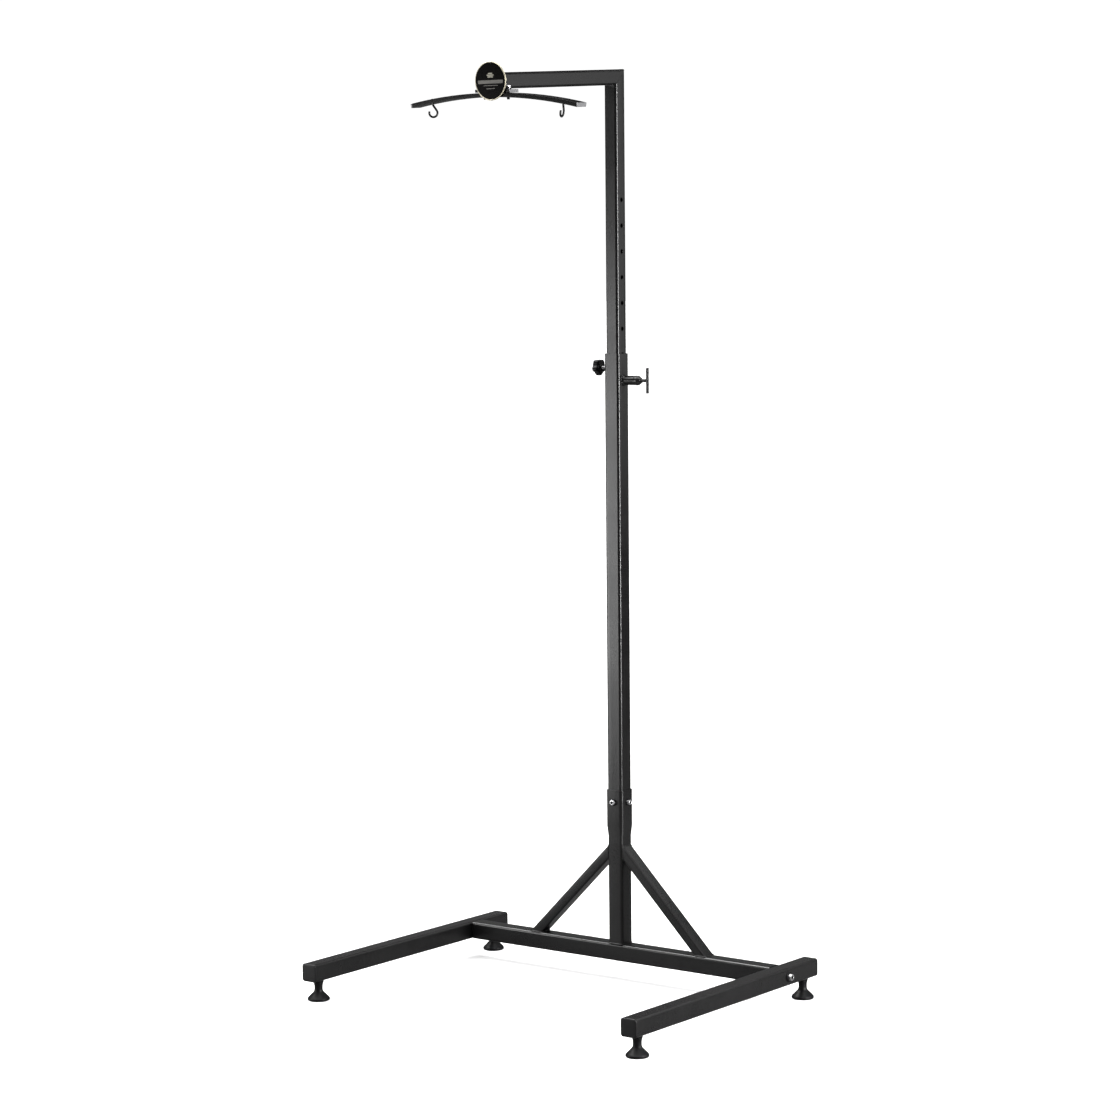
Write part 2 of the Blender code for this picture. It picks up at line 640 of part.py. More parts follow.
def make_hook(side, sign, holder, bar, bar_top, black):
    """A J-shaped hook. Its straight end passes through the bar and is headed over on top."""
    top, angle = bar_frame(sign * HOOK_ARC, bar_top)
    axis = empty(f"hook_{side}_axis", top, (0, angle, 0), holder)
    outwards = Vector((math.sin(angle), 0, math.cos(angle)))
    drill(bar, HOOK_HOLE_R, top - outwards * 2 * BAR, top + outwards * BAR)

    # Route in the hook's own plane, h across and v up from the bar's underside.
    bend, ring_r, lean = 1 * MM, 7.8 * MM, math.radians(27)
    slant = 13.2 * MM
    route = [(0, GAP + BAR), (0, 1 * MM), (0, -bend)]
    foot = (bend * math.tan(lean / 2), -bend - bend)
    end_h = foot[0] + (slant - 2 * bend) * math.tan(lean)
    route += [foot, (end_h, -slant)]
    centre = (end_h - ring_r * math.cos(lean), -slant - ring_r * math.sin(lean))
    steps = 14
    sweep = math.radians(238)
    for i in range(1, steps + 1):
        turn = lean - sweep * i / steps
        route.append((centre[0] + ring_r * math.cos(turn), centre[1] + ring_r * math.sin(turn)))
    rod = circle(HOOK_ROD_R, 10)
    rings = []
    for i, (h, v) in enumerate(route):
        before, after = route[max(i - 1, 0)], route[min(i + 1, len(route) - 1)]
        along = Vector((after[0] - before[0], 0, after[1] - before[1])).normalized()
        across = Vector((0, 1, 0)).cross(along)
        centre_point = Vector((h, 0, v - BAR))
        rings.append([centre_point + across * a + Vector((0, b, 0)) for a, b in rod])
    # A low head above the bar, wider than the hole. Its rings turn the same way as the rod's.
    head = []
    for radius, height in ((1.6 * MM, 1.7 * MM), (2.9 * MM, 1.1 * MM), (3.3 * MM, GAP)):
        head.append([Vector((-a, b, height)) for a, b in circle(radius, len(rod))])
    hook = skin("hook_" + side, head + rings, black)
    place(hook, (0, 0, 0), (0, 0, HOOK_TURN[side]), axis)


# ---------------------------------------------------------------- all of it


def clear_scene():
    for old in list(bpy.data.objects):
        bpy.data.objects.remove(old, do_unlink=True)


def main():
    clear_scene()
    coat = material("black_powder_coat", (0.045, 0.045, 0.047), 0.42, 0.0)
    plastic = material("black_plastic", (0.015, 0.015, 0.016), 0.5, 0.0)
    zinc = material("zinc_plated_steel", (0.62, 0.63, 0.65), 0.35, 1.0)
    chrome = material("bright_screw_steel", (0.8, 0.8, 0.82), 0.18, 1.0)
    black_steel = material("blackened_steel", (0.02, 0.02, 0.022), 0.3, 1.0)
    spring_steel = material("spring_steel", (0.5, 0.5, 0.52), 0.3, 1.0)
    badge_black = material("badge_black", (0.012, 0.01, 0.01), 0.25, 0.0)
    gold = material("gold_rim", (0.83, 0.68, 0.36), 0.25, 1.0)

    make_base(coat, plastic, zinc, chrome)
    make_short_post(coat)
    make_lower_tube(coat)
    make_socket_screws(plastic, zinc, chrome)
    make_brace("left", -1, coat)
    make_brace("right", 1, coat)
    make_plunger(black_steel, zinc, spring_steel)
    make_knob(plastic, zinc, chrome, coat)
    arm_front = make_upper(coat, plastic)
    make_badge(arm_front, badge_black, gold)
    holder, bar, bar_top = make_hanger(arm_front, coat, plastic, chrome)
    make_hook("left", -1, holder, bar, bar_top, black_steel)
    make_hook("right", 1, holder, bar, bar_top, black_steel)

    stand = bpy.data.objects.new("stand", None)
    bpy.context.scene.collection.objects.link(stand)
    for made in bpy.context.scene.collection.objects:
        if made.parent is None and made is not stand:
            made.parent = stand
    stand.location = (0, POST_Y, 0)


main()
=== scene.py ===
"""Looks of the gong stand: materials, finely turned hardware, weld beads, the badge, light and camera.

Blender 4.5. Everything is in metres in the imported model's own frame: +Z up, the arm towards -Y.
"""

import math

import bpy
from mathutils import Matrix, Vector, noise
from mathutils.geometry import convex_hull_2d


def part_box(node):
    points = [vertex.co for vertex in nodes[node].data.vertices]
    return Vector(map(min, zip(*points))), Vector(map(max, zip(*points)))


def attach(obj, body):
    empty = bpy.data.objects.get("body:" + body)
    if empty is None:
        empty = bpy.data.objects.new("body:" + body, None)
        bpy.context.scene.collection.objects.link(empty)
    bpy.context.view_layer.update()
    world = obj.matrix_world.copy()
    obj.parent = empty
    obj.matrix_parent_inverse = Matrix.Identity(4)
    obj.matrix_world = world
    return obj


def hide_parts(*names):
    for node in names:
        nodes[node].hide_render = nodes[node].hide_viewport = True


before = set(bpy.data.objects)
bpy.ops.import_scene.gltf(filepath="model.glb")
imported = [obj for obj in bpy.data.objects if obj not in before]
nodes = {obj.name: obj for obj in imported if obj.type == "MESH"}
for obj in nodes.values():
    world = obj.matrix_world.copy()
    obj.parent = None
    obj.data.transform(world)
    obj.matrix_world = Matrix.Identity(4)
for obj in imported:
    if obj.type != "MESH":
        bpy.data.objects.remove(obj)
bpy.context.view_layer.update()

MM = 0.001
X, Y, Z = Vector((1, 0, 0)), Vector((0, 1, 0)), Vector((0, 0, 1))
GAP = 0.3 * MM  # left in the CAD between pieces that touch
TUBE_CORNER = 5.2 * MM
PLUG_INSET = 2.3 * MM  # tube wall and clearance round a cap's plug
LEG_PLUG = 16 * MM
ARM_SIZE = 30 * MM
ARM_CAP_HEAD = 1.7 * MM
ARM_PLUG = 12 * MM
SCREW_HEAD = 5 * MM  # of the leg and socket screws
HANGER_SCREW_HEAD = 5.6 * MM
HANGER_SHANK = 8 * MM  # plain part of the hanger screws, above their thread
OVERLAP = 0.1 * MM  # of a thread into its shank
FOOT_STUD_HIDDEN = 16 * MM  # of each foot's stud, inside its pad
M8_PITCH = 1.25 * MM
M6_PITCH = 1 * MM
KNOB_NUT = 12 * MM  # across flats
KNOB_LOBES = 5
KNOB_R = 16.5 * MM
KNOB_HUB_R = 7.5 * MM
KNOB_VALLEY = 3.3 * MM
AXIS_R = 0.02  # millimetres: the radius that closes a turned piece on its axis
ARM_DROOP = math.radians(3.0)
HANGER_ROLL = math.radians(-1.55)
ARM_TURN = Matrix.Rotation(ARM_DROOP, 3, "X")
HANGER_TURN = ARM_TURN @ Matrix.Rotation(-HANGER_ROLL, 3, "Y")


# ---------------------------------------------------------------- materials


MIX_COLOUR_A, MIX_COLOUR_B, MIX_COLOUR_OUT = 6, 7, 2  # a Mix node's sockets when it mixes colours
MIX_FLOAT_A, MIX_FLOAT_B, MIX_FLOAT_OUT = 2, 3, 0  # and when it mixes numbers


class Shader:
    """A Principled material and short ways to wire procedural nodes into it."""

    def __init__(self, name):
        self.material = bpy.data.materials.new(name)
        self.material.use_nodes = True
        self.tree = self.material.node_tree
        self.out = self.tree.nodes["Principled BSDF"]
        coordinates = self.node("ShaderNodeTexCoord")
        self.place = coordinates.outputs["Object"]

    def node(self, kind, **values):
        made = self.tree.nodes.new(kind)
        for key, value in values.items():
            setattr(made, key, value)
        return made

    def link(self, source, target):
        self.tree.links.new(source, target)

    def set(self, **values):
        for key, value in values.items():
            self.out.inputs[key.replace("_", " ")].default_value = value

    def noise(self, scale, detail=2.0, rough=0.5, stretch=(1, 1, 1)):
        """Noise in object space; scale is in features per metre."""
        mapping = self.node("ShaderNodeMapping")
        mapping.inputs["Scale"].default_value = stretch
        self.link(self.place, mapping.inputs["Vector"])
        made = self.node("ShaderNodeTexNoise")
        made.inputs["Scale"].default_value = scale
        made.inputs["Detail"].default_value = detail
        made.inputs["Roughness"].default_value = rough
        self.link(mapping.outputs["Vector"], made.inputs["Vector"])
        return made.outputs["Fac"]

    def range(self, source, low, high, start=0.3, end=0.7):
        """The source's start..end taken to low..high."""
        made = self.node("ShaderNodeMapRange")
        for key, value in (("From Min", start), ("From Max", end), ("To Min", low), ("To Max", high)):
            made.inputs[key].default_value = value
        self.link(source, made.inputs["Value"])
        return made.outputs["Result"]

    def mix(self, factor, first, second):
        """A colour mix. Each side is a colour or a socket."""
        made = self.node("ShaderNodeMix", data_type="RGBA")
        self.link(factor, made.inputs["Factor"])
        for socket, value in ((made.inputs[MIX_COLOUR_A], first), (made.inputs[MIX_COLOUR_B], second)):
            if isinstance(value, tuple):
                socket.default_value = (*value, 1)
            else:
                self.link(value, socket)
        return made.outputs[MIX_COLOUR_OUT]

    def math(self, operation, first, second):
        made = self.node("ShaderNodeMath", operation=operation)
        for socket, value in zip(made.inputs, (first, second)):
            if isinstance(value, (int, float)):
                socket.default_value = value
            else:
                self.link(value, socket)
        return made.outputs[0]

    def bump(self, height, strength, depth, below=None):
        made = self.node("ShaderNodeBump")
        made.inputs["Strength"].default_value = strength
        made.inputs["Distance"].default_value = depth
        self.link(height, made.inputs["Height"])
        if below:
            self.link(below, made.inputs["Normal"])
        return made.outputs["Normal"]

    def finish(self, colour=None, roughness=None, normal=None):
        for key, source in (("Base Color", colour), ("Roughness", roughness), ("Normal", normal)):
            if source:
                self.link(source, self.out.inputs[key])
        return self.material


COAT_DARK, COAT_LIGHT = (0.0045, 0.0044, 0.0046), (0.0068, 0.0066, 0.0068)
CUT_STEEL_DARK, CUT_STEEL_LIGHT, CUT_STEEL_ROUGH = (0.30, 0.30, 0.31), (0.46, 0.46, 0.47), 0.4


def powder_coat(name, bare_beyond=None, gloss=0.5):
    """Satin black powder coat with fine orange peel. Beyond |x| = bare_beyond it is cut steel."""
    s = Shader(name)
    peel = s.noise(520, 3, 0.55)
    fine = s.noise(2600, 2, 0.6)
    cloud = s.noise(9, 3, 0.5)
    colour = s.mix(s.range(cloud, 0, 1), COAT_DARK, COAT_LIGHT)
    roughness = s.math("ADD", s.range(cloud, 0.25, 0.31), s.range(fine, -0.03, 0.04))
    normal = s.bump(fine, 0.14, 0.05 * MM, s.bump(peel, 0.12, 0.12 * MM))
    s.set(Metallic=0.0, Specular_IOR_Level=gloss)
    if bare_beyond:
        split = s.node("ShaderNodeSeparateXYZ")
        s.link(s.place, split.inputs[0])
        past = s.math("GREATER_THAN", s.math("ABSOLUTE", split.outputs["X"], 0.0), bare_beyond)
        saw = s.noise(420, 3, 0.7, stretch=(1, 0.12, 3.0))
        steel = s.mix(s.range(saw, 0, 1), CUT_STEEL_DARK, CUT_STEEL_LIGHT)
        colour = s.mix(past, colour, steel)
        blend = s.node("ShaderNodeMix", data_type="FLOAT")
        s.link(past, blend.inputs["Factor"])
        s.link(roughness, blend.inputs[MIX_FLOAT_A])
        blend.inputs[MIX_FLOAT_B].default_value = CUT_STEEL_ROUGH
        roughness = blend.outputs[MIX_FLOAT_OUT]
        s.link(past, s.out.inputs["Metallic"])
        s.link(s.range(past, gloss, 0.5, 0, 1), s.out.inputs["Specular IOR Level"])
    return s.finish(colour, roughness, normal)


def moulded_plastic(name, colour=(0.003, 0.003, 0.0034), rough=0.42, gloss=0.22):
    """Black plastic with a fine moulded grain."""
    s = Shader(name)
    s.set(Specular_IOR_Level=gloss)
    grain = s.noise(1500, 2, 0.6)
    cloud = s.noise(30, 2, 0.5)
    tone = s.mix(s.range(cloud, 0, 1), colour, tuple(c * 1.7 for c in colour))
    roughness = s.range(grain, rough - 0.05, rough + 0.08)
    return s.finish(tone, roughness, s.bump(grain, 0.3, 0.04 * MM))


def plated_steel(name, dark, light, low, high):
    """Bright metal with faint turning marks and a little variation in its polish."""
    s = Shader(name)
    marks = s.noise(900, 3, 0.6, stretch=(0.3, 1, 1))
    cloud = s.noise(120, 2, 0.5)
    s.set(Metallic=1.0)
    colour = s.mix(s.range(cloud, 0, 1), dark, light)
    return s.finish(colour, s.range(marks, low, high), s.bump(marks, 0.08, 0.02 * MM))


def blackened_steel(name):
    """Dark oxide on steel, a little glossier than the powder coat."""
    s = Shader(name)
    marks = s.noise(700, 3, 0.6)
    cloud = s.noise(60, 2, 0.5)
    s.set(Specular_IOR_Level=0.55)
    colour = s.mix(s.range(cloud, 0, 1), (0.004, 0.004, 0.0045), (0.009, 0.009, 0.0095))
    return s.finish(colour, s.range(marks, 0.24, 0.34), s.bump(marks, 0.15, 0.03 * MM))


def lacquered(name, dark, light, metallic=0.0, rough=0.3, lacquer=0.3, gloss=0.35):
    """Print or gilding under a clear lacquer."""
    s = Shader(name)
    fleck = s.noise(1300, 2, 0.6)
    s.set(Metallic=metallic, Coat_Weight=lacquer, Coat_Roughness=0.12, Specular_IOR_Level=gloss)
    colour = s.mix(s.range(fleck, 0, 1), dark, light)
    return s.finish(colour, s.range(fleck, rough - 0.05, rough + 0.05), s.bump(fleck, 0.05, 0.02 * MM))


COAT = powder_coat("powder_coat_satin")
BAR_COAT = powder_coat("powder_coat_bare_ends", bare_beyond=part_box("hanger_bar")[1].x - 2.2 * MM, gloss=0.28)
PLATE_COAT = powder_coat("powder_coat_cut_plate", bare_beyond=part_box("hanger_plate")[1].x - 0.9 * MM)
PLASTIC = moulded_plastic("black_plastic_moulded")
CAP_PLASTIC = moulded_plastic("black_plastic_caps", (0.004, 0.004, 0.0045), gloss=0.34)
KNOB_PLASTIC = moulded_plastic("black_plastic_knob", (0.0025, 0.0025, 0.003), rough=0.34, gloss=0.18)
CHROME = plated_steel("bright_plated_steel", (0.78, 0.78, 0.80), (0.92, 0.92, 0.93), 0.22, 0.34)
ZINC = plated_steel("zinc_plated_steel", (0.48, 0.49, 0.51), (0.66, 0.67, 0.69), 0.28, 0.42)
BLACK_STEEL = blackened_steel("blackened_steel")
BADGE_BLACK = lacquered(
    "badge_black_lacquer",
    (0.002, 0.0018, 0.0016),
    (0.004, 0.0036, 0.0032),
    rough=0.30,
    lacquer=0.0,
    gloss=0.08,
)
BADGE_PRINT = lacquered("badge_ivory_print", (0.46, 0.44, 0.36), (0.62, 0.60, 0.50), rough=0.5, lacquer=0.0)
BADGE_GREY = lacquered("badge_grey_print", (0.17, 0.165, 0.15), (0.26, 0.25, 0.23), rough=0.5, lacquer=0.0)
GOLD = lacquered("pale_gold_rim", (0.72, 0.66, 0.48), (0.86, 0.81, 0.64), metallic=0.45, rough=0.42)


# ---------------------------------------------------------------- mesh helpers


def add_mesh(name, rings, finish, closed=False, sharp=32):
    """One skin from rings of equal length; shaded smooth below the sharp angle in degrees."""
    count = len(rings[0])
    points = [tuple(p) for ring in rings for p in ring]
    rows = len(rings)
    faces = []
    for row in range(rows if closed else rows - 1):
        here, there = row * count, (row + 1) % rows * count
        for i in range(count):
            after = (i + 1) % count
            faces.append((here + i, here + after, there + after, there + i))
    if not closed:
        faces.append(tuple(reversed(range(count))))
        faces.append(tuple(range((rows - 1) * count, rows * count)))
    data = bpy.data.meshes.new(name)
    data.from_pydata(points, [], faces)
    data.materials.append(finish)
    data.shade_smooth()
    data.set_sharp_from_angle(angle=math.radians(sharp))
    made = bpy.data.objects.new(name, data)
    bpy.context.scene.collection.objects.link(made)
    return made


def settle(made, body, slot_name, *replaced):
    """Rides a piece on its body and hides the CAD nodes it stands for. slot_name is not used."""
    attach(made, body)
    if replaced:
        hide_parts(*replaced)


def span(node, axis):
    """The point where a node starts along the axis, its length, and half its width.

    The point lies at the middle of the node's box. That is on the centre line of a round, square or
    hexagonal piece, but not of the five-lobed knob, which is drawn 0.74 mm above its axis because of this.
    """
    side = axis.orthogonal().normalized()
    other = axis.cross(side)
    spread = []
    for way in (side, other, axis):
        reach = [v.co.dot(way) for v in nodes[node].data.vertices]
        spread.append((min(reach), max(reach)))
    middle = [(low + high) / 2 for low, high in spread]
    base = side * middle[0] + other * middle[1] + axis * spread[2][0]
    return base, spread[2][1] - spread[2][0], (spread[0][1] - spread[0][0]) / 2


def filleted(profile, steps=4):
    """(radius, height, fillet) corners in millimetres as a fine list of (radius, height) in metres."""
    corners = [(Vector((p[0], p[1])), p[2] if len(p) > 2 else 0) for p in profile]
    fine = []
    for i, (point, fillet) in enumerate(corners):
        if not fillet or i in (0, len(corners) - 1):
            fine.append(point * MM)
            continue
        before, after = corners[i - 1][0] - point, corners[i + 1][0] - point
        reach = min(fillet, before.length * 0.48, after.length * 0.48)
        start, end = point + before.normalized() * reach, point + after.normalized() * reach
        for step in range(steps + 1):
            t = step / steps
            fine.append((start * (1 - t) ** 2 + point * 2 * t * (1 - t) + end * t * t) * MM)
    return fine


def turned(name, profile, at, axis, finish, sides=64, shape=None, closed=True, sharp=32):
    """A body of revolution. shape(radius, angle, height) may change the radius, for lobes or ridges."""
    turn = axis.to_track_quat("Z", "Y").to_matrix()
    rings = []
    for radius, height in filleted(profile):
        ring = []
        for i in range(sides):
            angle = 2 * math.pi * i / sides
            reach = shape(radius, angle, height) if shape else radius
            ring.append(at + turn @ Vector((reach * math.cos(angle), reach * math.sin(angle), height)))
        rings.append(ring)
    return add_mesh(name, rings, finish, closed=closed, sharp=sharp)


def hex_radius(across_flats, angle):
    """How far a hexagon's outline is from its centre at an angle."""
    off_flat = (angle + math.pi / 6) % (math.pi / 3) - math.pi / 6
    return across_flats / 2 / math.cos(off_flat)


def screw_thread(name, at, axis, radius, pitch, length, finish, sides=32):
    """A threaded rod end: the ridge climbs one pitch a turn and fades at the chamfered tip."""
    turn = axis.to_track_quat("Z", "Y").to_matrix()
    depth = 0.55 * pitch
    rows = math.ceil(length / pitch * 8)
    rings = []
    for row in range(rows + 1):
        height = length * row / rows
        tip = min(1, (length - height) / (1.2 * pitch))
        ring = []
        for i in range(sides):
            angle = 2 * math.pi * i / sides
            phase = (height / pitch - i / sides) % 1
            ridge = abs(2 * phase - 1)
            reach = radius - depth * (1 - ridge) * 0.9 - (1 - tip) * depth * ridge
            ring.append(at + turn @ Vector((reach * math.cos(angle), reach * math.sin(angle), height)))
        rings.append(ring)
    return add_mesh(name, rings, finish, sharp=40)


def socket_cap_screw(name, base, axis, thread_r, head_r, head, length, key, finish):
    """Knurled cylinder head with a hex recess. base is the head's underside; the shank goes against axis."""
    mm = 1 / MM
    t, r, h, k = thread_r * mm, head_r * mm, head * mm, key * mm
    recess = h * 0.45
    profile = [
        (t * 0.8, -length * mm),
        (t, -length * mm + 0.4 * t),
        (t, 0, 0.2),
        (r - 0.3, 0, 0.3),
        (r, 0.35, 0.2),
        (r, h - 0.75, 0.3),
        (r - 0.65, h, 0.35),
        (k / 2 + 0.75, h, 0.1),
        (k / 2 + 0.01, h - 0.35),
        (k / 2 + 0.01, recess),
        (0.25 * k, recess - 0.5),
        (AXIS_R, recess - 0.8),
    ]
    hex_from, knurl_low, knurl_high = k / 2 + 0.02, 0.5 * MM, (h - 0.9) * MM

    def shape(radius, angle, height):
        if radius * mm < hex_from and height > (recess - 0.1) * MM:
            return hex_radius(key, angle)
        if radius > head_r - 0.05 * MM and knurl_low < height < knurl_high:
            return radius - 0.09 * MM * (1 + math.cos(36 * angle)) / 2
        return radius

    made = turned(name, profile, base, axis, finish, sides=144, shape=shape, closed=False)
    # The key recess is blackened steel: oxide, and painted shade in the hollow.
    made.data.materials.append(BLACK_STEEL)
    for face in made.data.polygons:
        offset = face.center - base
        height = offset.dot(axis)
        if height > 0.3 * head and (offset - axis * height).length < 0.58 * key:
            face.material_index = 1
    return made


def flat_ring(name, base, axis, inner, outer, thick, finish, edge=0.35):
    """A washer, with its outer edges rounded by edge millimetres."""
    mm = 1 / MM
    i, o, t = inner * mm, outer * mm, thick * mm
    profile = [
        (i, 0),
        (o - edge, 0, edge / 2),
        (o, edge, edge / 2),
        (o, t - edge, edge),
        (o - edge, t, edge),
        (i, t),
    ]
    return turned(name, profile, base, axis, finish)


def rounded_box(half_width, half_height, corner, centre=(0, 0), steps=4):
    """A rectangle's outline with round corners, as (x, y) points."""
    corner = min(corner, half_height, half_width)
    points = []
    for quarter, (side_x, side_y) in enumerate(((1, 1), (-1, 1), (-1, -1), (1, -1))):
        for i in range(steps + 1):
            angle = math.pi / 2 * (quarter + i / steps)
            points.append((
                centre[0] + side_x * (half_width - corner) + corner * math.cos(angle),
                centre[1] + side_y * (half_height - corner) + corner * math.sin(angle),
            ))
    return points


def end_cap(name, face, out, across, size, corner, wall, head, plug, finish):
    """A moulded cap for a square tube: a low crowned head with a soft edge, and the plug inside the tube."""
    up = out.cross(across)
    inside = size - 2 * wall
    layers = [
        (inside - 3 * MM, 1.4 * MM, -0.2 * head),
        (inside - 3 * MM, 1.4 * MM, -plug),
        (inside, corner - wall, -plug),
        (inside, corner - wall, 0),
        (size - 0.5 * MM, corner, 0),
        (size, corner, 0.12 * head),
        (size, corner, 0.35 * head),
        (size - 0.4 * MM, corner, 0.62 * head),
        (size - 1.3 * MM, corner * 0.92, 0.82 * head),
        (size - 2.8 * MM, corner * 0.80, 0.93 * head),
        (size - 6 * MM, corner * 0.6, 0.97 * head),
        (size * 0.4, corner * 0.4, head),
    ]
    rings = []
    for width, round_r, height in layers:
        section = rounded_box(width / 2, width / 2, round_r, steps=6)
        rings.append([face + across * x + up * y + out * height for x, y in section])
    return add_mesh(name, rings, finish, sharp=40)


def restyle(node, finish):
    """Gives a CAD node a new finish and smooth shading, and welds its faces together. Its shape stays."""
    made = nodes[node]
    for holder in made.material_slots:
        holder.material = finish
    if "custom_normal" in made.data.attributes:
        made.data.attributes.remove(made.data.attributes["custom_normal"])
    made.data.shade_smooth()
    weld = made.modifiers.new("Weld", "WELD")
    weld.merge_threshold = 0.002 * MM
    return made


def soften(node, finish, width=0.25 * MM, flat=True):
    """Keeps a CAD node's shape, with its edges broken and its rounded corners shaded smooth."""
    made = restyle(node, finish)
    if flat:
        merge = made.modifiers.new("Flats", "DECIMATE")
        merge.decimate_type = "DISSOLVE"
        merge.angle_limit = math.radians(0.6)
    bevel = made.modifiers.new("Edges", "BEVEL")
    bevel.width = width
    bevel.segments = 2
    bevel.limit_method = "ANGLE"
    bevel.angle_limit = math.radians(40)
    normals = made.modifiers.new("Normals", "WEIGHTED_NORMAL")
    normals.keep_sharp = False
    normals.weight = 100  # large faces win, so that they stay flat up to their corners


# ---------------------------------------------------------------- weld beads


def outline(node, point, normal, within=0.02 * MM):
    """The node's outer outline where it meets a plane, as points in order."""
    side = normal.orthogonal().normalized()
    other = normal.cross(side)
    flat = []
    for v in nodes[node].data.vertices:
        if abs((v.co - point).dot(normal)) < within:
            flat.append(((v.co - point).dot(side), (v.co - point).dot(other)))
    order = convex_hull_2d(flat)
    return [point + side * flat[i][0] + other * flat[i][1] for i in order]


def resampled(points, step, closed):
    """Points at even steps along a route."""
    fine = []
    pairs = list(zip(points, points[1:] + points[:1])) if closed else list(zip(points, points[1:]))
    carry = 0.0
    for start, end in pairs:
        length = (end - start).length
        while carry < length:
            fine.append(start.lerp(end, carry / length))
            carry += step
        carry -= length
    if not closed:
        fine.append(points[-1])
    return fine


BEAD_STEP = 0.55 * MM
BEAD_SIDES = 10
BEAD_TAPER = 0.22  # how much each scale narrows along its length
BEAD_WANDER = 0.16


def bead(name, points, radius, body, closed=True, seed=0):
    """A weld bead along the points: overlapping scales 1.7 radii long, a little uneven."""
    route = resampled(points, BEAD_STEP, closed)
    rings = []
    pitch = 1.7 * radius
    for i, point in enumerate(route):
        before = route[i - 1] if closed or i else point
        after = route[(i + 1) % len(route)] if closed or i < len(route) - 1 else point
        along = (after - before).normalized()
        side = along.orthogonal().normalized()
        if abs(along.dot(Z)) < 0.99:
            side = along.cross(Z).normalized()
        other = along.cross(side)
        distance = i * BEAD_STEP
        scale = 1 - BEAD_TAPER * ((distance / pitch) % 1)
        wander = noise.noise(point * 260 + Vector((seed, 0, 0)))
        reach = radius * scale * (1 + BEAD_WANDER * wander)
        ring = []
        for k in range(BEAD_SIDES):
            angle = 2 * math.pi * k / BEAD_SIDES
            ring.append(point + (side * math.cos(angle) + other * math.sin(angle)) * reach)
        rings.append(ring)
    made = add_mesh(name, rings, COAT, closed=closed, sharp=70)
    settle(made, body, "powder_coat")


def circle_round(centre, radius_at, steps):
    """Points round an axis along X; radius_at gives the radius at each angle."""
    angles = [2 * math.pi * i / steps for i in range(steps)]
    return [centre + (Y * math.cos(a) + Z * math.sin(a)) * radius_at(a) for a in angles]


def add_welds():
    post_low, post_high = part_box("short_post")
    centre = Vector(((post_low.x + post_high.x) / 2, (post_low.y + post_high.y) / 2, post_low.z))
    bead("weld_post_foot", outline("short_post", centre, Z), 1.5 * MM, "base", seed=1)
    for i, side in enumerate(("left", "right")):
        low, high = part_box(f"{side}_brace")
        foot = Vector(((low.x + high.x) / 2, centre.y, low.z))
        bead(f"weld_brace_foot_{side}", outline(f"{side}_brace", foot, Z), 1.5 * MM, "base", seed=2 + i)
        face = high.x if side == "left" else low.x
        top = Vector((face, centre.y, high.z))
        bead(f"weld_brace_top_{side}", outline(f"{side}_brace", top, X), 1.5 * MM, "base", seed=4 + i)

    # The mitre between the upper tube and the arm.
    down = -Z
    forwards = ARM_TURN @ -Y
    normal = (down - forwards).normalized()
    highest = max((v.co for v in nodes["upper_tube"].data.vertices), key=lambda co: -co.dot(normal))
    bead("weld_mitre", outline("upper_tube", highest, normal), 0.45 * MM, "upper_post", seed=6)

    # The plate under the arm, along both sides of the arm.
    plate_low, plate_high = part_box("hanger_plate")
    middle = Vector((0, (plate_low.y + plate_high.y) / 2, 0))
    arm_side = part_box("arm")[1].x - GAP
    up = HANGER_TURN @ Z
    plate_top = max((v.co for v in nodes["hanger_plate"].data.vertices), key=lambda co: co.dot(up))
    level = plate_top.dot(up)
    for i, (side, sign) in enumerate((("left", -1), ("right", 1))):
        ends = []
        for reach in (-11.5 * MM, 11.5 * MM):
            place = Vector((sign * arm_side, middle.y + reach, 0))
            place.z = (level + 0.5 * MM - place.dot(up)) / up.z
            ends.append(place)
        bead(f"weld_plate_{side}", ends, 1.4 * MM, "upper_post", closed=False, seed=8 + i)

    # Round the knob's nut and the plunger's flange.
    nut_base, _, _ = span("knob_boss", -X)
    nut_ring = circle_round(nut_base, lambda angle: hex_radius(KNOB_NUT, angle), 60)
    bead("weld_knob_boss", nut_ring, 1.0 * MM, "base", seed=10)
    flange_base, _, flange_r = span("plunger_body", X)
    bead("weld_plunger", circle_round(flange_base, lambda angle: flange_r, 72), 1.1 * MM, "base", seed=11)


# ---------------------------------------------------------------- base hardware


def add_feet():
    pad_profile = [
        (AXIS_R, 1.0),
        (15.0, 1.0, 0.5),
        (16.2, 0.0, 0.6),
        (19.8, 0.0, 0.7),
        (21.6, 1.6, 0.9),
        (21.6, 4.6, 1.0),
        (20.6, 6.0, 0.8),
        (19.9, 6.9, 0.5),
        (9.7, 17.1, 4.5),
        (8.2, 20.6, 2.5),
        (8.2, 29.5, 3.5),
        (9.6, 34.3, 0.4),
        (9.3, 34.7, 0.2),
        (10.0, 35.6, 0.4),
        (10.4, 37.0, 0.6),
        (10.4, 39.6, 0.5),
        (9.9, 40.2, 0.3),
        (4.4, 40.2),
        (4.4, 30.0),
        (AXIS_R, 30.0),
    ]
    for end in ("front", "back"):
        for side in ("left", "right"):
            tag = f"{end}_{side}"
            pad = "foot_pad_" + tag
            base, _, _ = span(pad, Z)
            made = turned("levelling_" + pad, pad_profile, base, Z, PLASTIC, sides=96, closed=False)
            settle(made, pad, "black_plastic", pad)
            stud = "foot_stud_" + tag
            base, length, radius = span(stud, Z)
            base = base + Z * FOOT_STUD_HIDDEN
            shown = length - FOOT_STUD_HIDDEN
            made = screw_thread("threaded_" + stud, base, Z, radius, M8_PITCH, shown, ZINC)
            settle(made, stud, "zinc_steel", stud)


